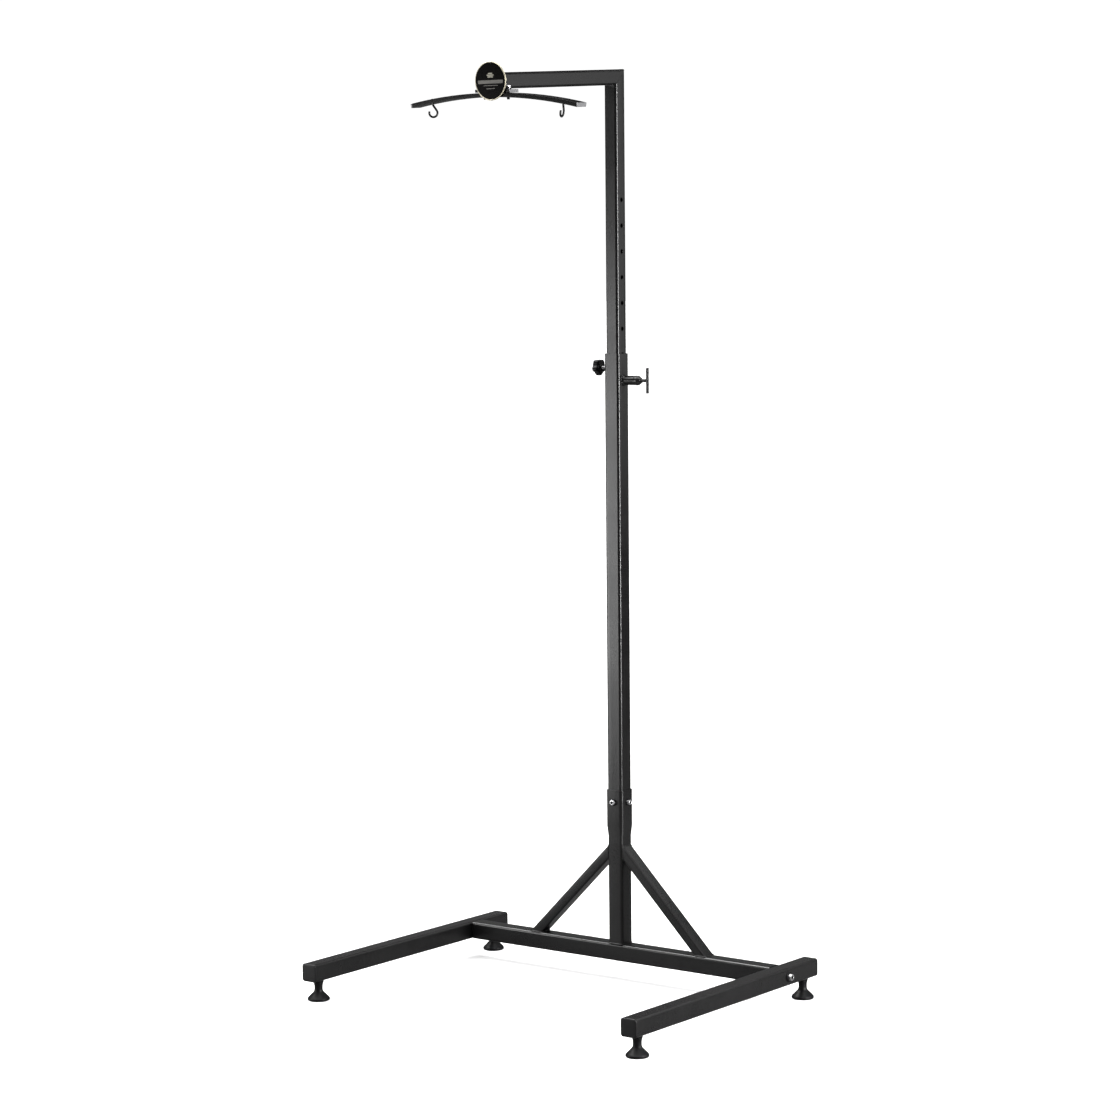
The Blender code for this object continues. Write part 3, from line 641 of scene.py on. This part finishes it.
def add_caps():
    for end, out in (("front", -Y), ("back", Y)):
        for side in ("left", "right"):
            node = f"leg_cap_{end}_{side}"
            low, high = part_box(node)
            leg_low, leg_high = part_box(f"{side}_leg")
            centre = (low + high) / 2
            tip = low.y if end == "front" else high.y
            leg_end = leg_low.y if end == "front" else leg_high.y
            head = abs(tip - leg_end) - GAP
            face = Vector((centre.x, tip - out.y * head, centre.z))
            size = high.x - low.x
            name = "moulded_" + node
            made = end_cap(name, face, out, X, size, TUBE_CORNER, PLUG_INSET, head, LEG_PLUG, CAP_PLASTIC)
            settle(made, "base", "black_plastic", node)
    # The plug in the arm's front end, behind the badge.
    forwards = ARM_TURN @ -Y
    base, length, _ = span("arm_plug", forwards)
    face = base + forwards * (length - ARM_CAP_HEAD)
    made = end_cap(
        "moulded_arm_plug",
        face,
        forwards,
        X,
        ARM_SIZE,
        TUBE_CORNER,
        PLUG_INSET,
        ARM_CAP_HEAD,
        ARM_PLUG,
        CAP_PLASTIC,
    )
    settle(made, "upper_post", "black_plastic", "arm_plug")


def add_screws():
    # washer, screw, direction, washer's bore, its edge in mm, thread radius, key
    places = (
        ("leg_washer_left", "leg_bolt_left", -X, 4.3 * MM, 0.6, 4 * MM, 6 * MM),
        ("leg_washer_right", "leg_bolt_right", X, 4.3 * MM, 0.6, 4 * MM, 6 * MM),
        ("socket_washer_front", "socket_screw_front", -Y, 3.3 * MM, 0.45, 3 * MM, 4.6 * MM),
        ("socket_washer_right", "socket_screw_right", X, 3.3 * MM, 0.45, 3 * MM, 4.6 * MM),
    )
    for washer, screw, out, bore, edge, thread_r, key in places:
        base, thick, radius = span(washer, out)
        made = flat_ring("round_" + washer, base, out, bore, radius, thick, PLASTIC, edge=edge)
        settle(made, "base", "black_plastic", washer)
        base, length, radius = span(screw, out)
        shank = length - SCREW_HEAD
        under = base + out * shank
        name = "knurled_" + screw
        made = socket_cap_screw(name, under, out, thread_r, radius, SCREW_HEAD, shank, key, CHROME)
        settle(made, "base", "screw_steel", screw)


# ---------------------------------------------------------------- plunger and knob


def add_plunger():
    base, _, _ = span("plunger_body", X)
    body = [
        (4.4, 0),
        (10.2, 0, 0.2),
        (10.6, 0.5, 0.3),
        (10.6, 3.2, 0.5),
        (9.1, 4.9, 1.2),
        (9.1, 24.6, 0.15),
        (8.7, 24.9, 0.1),
        (8.7, 25.5, 0.1),
        (9.1, 25.8, 0.15),
        (9.1, 27.6, 0.3),
        (8.7, 28.0, 0.2),
        (6.6, 28.0),
        (6.6, 4.5),
        (4.4, 4.5),
    ]
    made = turned("turned_plunger_body", body, base, X, BLACK_STEEL)
    settle(made, "base", "black_steel", "plunger_body")
    base, _, _ = span("plunger_collar", X)
    collar = [
        (3.65, 0),
        (8.7, 0, 0.2),
        (9.0, 0.5, 0.3),
        (9.5, 1.0, 0.3),
        (9.5, 2.6, 0.2),
        (9.1, 2.9, 0.15),
        (9.1, 3.5, 0.15),
        (9.5, 3.8, 0.2),
        (9.5, 6.4, 0.7),
        (8.7, 8.4, 1.0),
        (5.5, 13.0, 0.9),
        (5.0, 14.0, 0.3),
        (3.65, 14.0),
    ]
    made = turned("turned_plunger_collar", collar, base, X, BLACK_STEEL)
    settle(made, "base", "black_steel", "plunger_collar")

    base, length, _ = span("plunger_pin", X)
    end = length / MM
    pin = [
        (AXIS_R, 0),
        (2.9, 0, 0.5),
        (4.0, 1.3, 0.6),
        (4.0, 6.8),
        (6.2, 7.1, 0.2),
        (6.2, 9.2, 0.2),
        (3.2, 9.2, 0.2),
        (3.2, end, 0.3),
        (AXIS_R, end),
    ]
    made = turned("turned_plunger_pin", pin, base, X, BLACK_STEEL, closed=False)
    settle(made, "plunger_pin", "zinc_steel", "plunger_pin")
    base, length, _ = span("pull_handle", Z)
    tall = length / MM
    bar = [
        (AXIS_R, 0),
        (2.2, 0, 0.8),
        (3.1, 1.2, 0.7),
        (3.1, tall / 2 - 4.0, 0.4),
        (3.3, tall / 2 - 3.6, 0.3),
        (3.3, tall / 2 + 3.6, 0.3),
        (3.1, tall / 2 + 4.0, 0.4),
        (3.1, tall - 1.2, 0.7),
        (2.2, tall, 0.8),
        (AXIS_R, tall),
    ]
    made = turned("turned_pull_handle", bar, base, Z, BLACK_STEEL, closed=False)
    settle(made, "plunger_pin", "black_steel", "pull_handle")


def add_knob():
    base, length, _ = span("knob_boss", -X)
    tall = length / MM

    def nut(reach, angle, height):
        flat = hex_radius(KNOB_NUT, angle)
        return min(flat, reach) if reach > 4 * MM else reach

    boss = [(3.4, 0), (7.2, 0), (7.2, tall - 0.8), (6.1, tall), (3.9, tall, 0.2), (3.4, tall - 0.5)]
    made = turned("hex_knob_boss", boss, base, -X, COAT, sides=96, shape=nut)
    settle(made, "base", "powder_coat", "knob_boss")

    base, length, radius = span("knob_stud", -X)
    inset = 0.2 * MM
    start = base - X * inset
    made = screw_thread("threaded_knob_stud", start, -X, radius, M6_PITCH, length - 2 * inset, CHROME)
    settle(made, "knob_stud", "screw_steel", "knob_stud")

    base, length, _ = span("star_knob", -X)
    tall = length / MM

    def star(reach, angle, height):
        if reach < KNOB_HUB_R:
            return reach
        share = min(1, (reach - KNOB_HUB_R) / (KNOB_R - KNOB_HUB_R))
        valley = (1 - math.cos(KNOB_LOBES * (angle + math.pi / 2))) / 2
        return reach - KNOB_VALLEY * share * valley

    knob = [
        (AXIS_R, tall - 2.5),
        (3.3, tall - 2.5),
        (3.3, 0),
        (6.0, 0, 0.3),
        (6.4, 0.6, 0.3),
        (6.7, 2.2, 0.5),
        (14.6, 2.6, 1.4),
        (16.5, 4.3, 1.2),
        (16.5, tall - 3.2, 1.4),
        (14.8, tall - 1.2, 1.6),
        (11.0, tall - 0.4, 1.0),
        (8.6, tall, 0.6),
        (7.4, tall, 0.3),
        (7.0, tall - 0.6, 0.3),
        (AXIS_R, tall - 0.6),
    ]
    name = "lobed_star_knob"
    made = turned(name, knob, base, -X, KNOB_PLASTIC, sides=120, shape=star, closed=False, sharp=50)
    settle(made, "star_knob", "black_plastic", "star_knob")


# ---------------------------------------------------------------- hanger and badge


def add_hanger_hardware():
    up = HANGER_TURN @ Z
    for side in ("left", "right"):
        washer, bolt = "hanger_washer_" + side, "hanger_bolt_" + side
        base, length, radius = span(washer, up)
        made = flat_ring("round_" + washer, base, up, 3.4 * MM, radius, length, PLASTIC)
        settle(made, "upper_post", "black_plastic", washer)
        base, length, radius = span(bolt, up)
        below = length - HANGER_SCREW_HEAD
        under = base + up * below
        made = socket_cap_screw(
            "knurled_" + bolt, under, up, 3 * MM, radius, HANGER_SCREW_HEAD, HANGER_SHANK, 4.6 * MM, CHROME
        )
        settle(made, "upper_post", "screw_steel", bolt)
        plain = HANGER_SHANK - OVERLAP
        start = under - up * plain
        name = "threaded_end_" + bolt
        made = screw_thread(name, start, -up, 2.99 * MM, M6_PITCH, below - plain, BLACK_STEEL)
        settle(made, "upper_post", "screw_steel")


def flat_inlay(name, outline_points, origin, across, up, out, thick, finish):
    """A thin printed patch standing a hair proud of the badge."""
    rings = []
    for height, inset in ((0, 1.0), (thick * 0.6, 1.0), (thick, 0.985)):
        rings.append([origin + across * x * inset + up * y * inset + out * height for x, y in outline_points])
    return add_mesh(name, rings, finish, sharp=30)


def add_badge():
    out = ARM_TURN @ -Y
    up = ARM_TURN @ Z
    base, length, radius = span("badge_disc", out)
    rim_base, rim_length, rim_radius = span("badge_rim", out)
    disc_r, thick = radius / MM, length / MM
    face = [
        (AXIS_R, 0),
        (disc_r, 0, 0.1),
        (disc_r, thick - 0.1, 0.1),
        (disc_r - 0.4, thick, 0.2),
        (AXIS_R, thick),
    ]
    made = turned("printed_badge_disc", face, base, out, BADGE_BLACK, sides=128, closed=False)
    settle(made, "upper_post", "badge_black", "badge_disc")
    inner, outer, tall = disc_r + 0.2, rim_radius / MM, rim_length / MM
    rim = [
        (inner, 0),
        (outer - 0.3, 0, 0.2),
        (outer, 0.4, 0.3),
        (outer, tall - 0.7, 0.5),
        (outer - 0.7, tall, 0.5),
        (inner + 0.3, tall - 0.1, 0.3),
        (inner, tall - 0.5, 0.2),
    ]
    made = turned("polished_badge_rim", rim, rim_base, out, GOLD, sides=128)
    settle(made, "upper_post", "gold_trim", "badge_rim")

    # A plain ornament: three short bars over a broad band, with two thin rules under it.
    origin = base + out * (length + 0.005 * MM)
    proud = 0.12 * MM
    middle_bar, bar_pitch = 10.5, 3.1
    # name, half width, half height, corner and height of its middle, in millimetres, and finish
    motif = [
        (f"badge_bar_{i}", half_width, 1.0, 1.0, middle_bar + (i - 1) * bar_pitch, BADGE_PRINT)
        for i, half_width in enumerate((6.6, 8.2, 5.0))
    ]
    motif.append(("badge_band", 29, 3.2, 1.4, -1.8, BADGE_GREY))
    motif.append(("badge_rule_wide", 17, 0.55, 0.5, -8.6, BADGE_GREY))
    motif.append(("badge_rule_short", 10, 0.6, 0.5, -14.2, BADGE_GREY))
    for name, half_width, half_height, corner, height, finish in motif:
        points = rounded_box(half_width * MM, half_height * MM, corner * MM, (0, height * MM))
        made = flat_inlay(name, points, origin, X, up, out, proud, finish)
        settle(made, "upper_post", "badge_black")


# ---------------------------------------------------------------- CAD nodes that stay


COATED_TUBES = (
    "left_leg",
    "right_leg",
    "cross_bar",
    "short_post",
    "lower_tube",
    "left_brace",
    "right_brace",
    "upper_tube",
    "arm",
)


def dress_nodes():
    for node in COATED_TUBES:
        soften(node, COAT, 0.3 * MM)
    soften("hanger_bar", BAR_COAT, 0.35 * MM)
    soften("hanger_plate", PLATE_COAT, 0.3 * MM)
    for node in ("hook_left", "hook_right"):
        finer = restyle(node, BLACK_STEEL).modifiers.new("Finer", "SUBSURF")
        finer.levels = finer.render_levels = 2
    for node in nodes:
        if node.startswith(("foot_insert", "socket_nut", "bar_end_plate", "plunger_spring")):
            soften(node, ZINC, 0.1 * MM, flat=False)


# ---------------------------------------------------------------- stage, light and camera

POST_Y = 0.2
WORLD_LIGHT = 0.03  # the world as a light
WORLD_SEEN = 1.05  # and as the camera sees it
FLOOR_HALF = 60
# How much the floor reflects when light bounces off it: at its middle, far away, and where it fades.
FLOOR_NEAR, FLOOR_FAR, FLOOR_FADE = 0.14, 0.015, (1.2, 3.5)
FLOOR_LIFT = 0.45  # glow that only the camera sees, so that the floor stays pale
SUN_STRENGTH = 3.9
SUN_SPREAD = math.radians(70)
SUN_TILT = (math.radians(12), math.radians(-8), 0)
# name, azimuth in degrees, distance, height, width, tall, watts, height aimed at
SOFT_BOXES = (
    ("left_front_box", -45, 3.4, 0.60, 1.2, 1.5, 48, 0.60),
    ("right_strip", 93, 3.2, 1.0, 0.3, 2.6, 210, 1.0),
    ("right_back_box", 133, 3.2, 1.7, 1.6, 1.7, 8.5, 1.4),
    ("back_left_box", -143, 5.0, 1.0, 3.0, 1.4, 2.5, 0.2),
    ("back_top_box", 173, 3.2, 3.1, 2.0, 1.0, 9, 0.9),
    ("left_top_box", -82, 2.2, 3.6, 2.0, 1.2, 90, 0.9),
)

CAMERA_AT = Vector((3.6911, -4.8779, 1.4612))
CAMERA_AZIMUTH = math.radians(37.05)
CAMERA_PITCH = math.radians(-5.647)
CAMERA_ROLL = math.radians(-0.512)
CAMERA_LENS = 103.16
SENSOR = 36.0


def add_camera():
    data = bpy.data.cameras.new("camera")
    data.lens = CAMERA_LENS
    data.sensor_width = SENSOR
    data.clip_start, data.clip_end = 0.1, 200
    camera = bpy.data.objects.new("camera", data)
    bpy.context.scene.collection.objects.link(camera)
    level = Matrix.Rotation(CAMERA_AZIMUTH, 4, "Z") @ Matrix.Rotation(math.pi / 2 + CAMERA_PITCH, 4, "X")
    camera.matrix_world = Matrix.Translation(CAMERA_AT) @ level @ Matrix.Rotation(CAMERA_ROLL, 4, "Z")
    bpy.context.scene.camera = camera


def soft_box(name, azimuth, distance, height, width, tall, power, aim_height):
    """A rectangular light at an azimuth round the post, measured from -Y towards +X, facing the post."""
    data = bpy.data.lights.new(name, "AREA")
    data.shape = "RECTANGLE"
    data.size, data.size_y = width, tall
    data.energy = power
    lamp = bpy.data.objects.new(name, data)
    bpy.context.scene.collection.objects.link(lamp)
    turn = math.radians(azimuth)
    lamp.location = (distance * math.sin(turn), POST_Y - distance * math.cos(turn), height)
    aim = Vector((0, POST_Y, aim_height)) - lamp.location
    lamp.rotation_euler = aim.to_track_quat("-Z", "Y").to_euler()
    lamp.visible_camera = False


def add_floor():
    """Pale paper for the camera, and darker, the more so far away, for the light that bounces off it."""
    floor_data = bpy.data.meshes.new("floor")
    corners = [(x * FLOOR_HALF, y * FLOOR_HALF, 0) for x, y in ((-1, -1), (1, -1), (1, 1), (-1, 1))]
    floor_data.from_pydata(corners, [], [(0, 1, 2, 3)])
    paper = Shader("floor_paper")
    cloud = paper.noise(0.7, 2, 0.5)
    pale = paper.mix(paper.range(cloud, 0, 1), (0.86, 0.86, 0.86), (0.88, 0.88, 0.88))
    seen = paper.node("ShaderNodeLightPath").outputs["Is Camera Ray"]
    away = paper.node("ShaderNodeVectorMath", operation="LENGTH")
    paper.link(paper.place, away.inputs[0])
    bounce = paper.range(away.outputs["Value"], FLOOR_NEAR, FLOOR_FAR, *FLOOR_FADE)
    tone = paper.node("ShaderNodeCombineColor")
    for channel in tone.inputs[:3]:
        paper.link(bounce, channel)
    colour = paper.mix(seen, tone.outputs["Color"], pale)
    paper.set(Emission_Color=(1, 1, 1, 1))
    paper.link(paper.range(seen, 0, FLOOR_LIFT, 0, 1), paper.out.inputs["Emission Strength"])
    paper.set(Specular_IOR_Level=0.0)
    floor_data.materials.append(paper.finish(colour, paper.range(cloud, 0.85, 0.95)))
    floor = bpy.data.objects.new("floor", floor_data)
    bpy.context.scene.collection.objects.link(floor)


def add_world():
    world = bpy.data.worlds.new("studio")
    bpy.context.scene.world = world
    world.use_nodes = True
    tree = world.node_tree
    background = tree.nodes["Background"]
    path = tree.nodes.new("ShaderNodeLightPath")
    strength = tree.nodes.new("ShaderNodeMapRange")
    strength.inputs["To Min"].default_value = WORLD_LIGHT
    strength.inputs["To Max"].default_value = WORLD_SEEN
    tree.links.new(path.outputs["Is Camera Ray"], strength.inputs["Value"])
    tree.links.new(strength.outputs["Result"], background.inputs["Strength"])
    background.inputs["Color"].default_value = (1, 1, 1, 1)


def add_lamps():
    overhead = bpy.data.lights.new("overhead", "SUN")
    overhead.energy = SUN_STRENGTH
    overhead.angle = SUN_SPREAD
    lamp = bpy.data.objects.new("overhead", overhead)
    lamp.rotation_euler = SUN_TILT
    bpy.context.scene.collection.objects.link(lamp)
    for box in SOFT_BOXES:
        soft_box(*box)


def add_stage():
    add_floor()
    add_world()
    add_lamps()
    bpy.context.scene.view_settings.view_transform = "Standard"


def main():
    dress_nodes()
    add_welds()
    add_feet()
    add_caps()
    add_screws()
    add_plunger()
    add_knob()
    add_hanger_hardware()
    add_badge()
    add_stage()
    add_camera()


main()
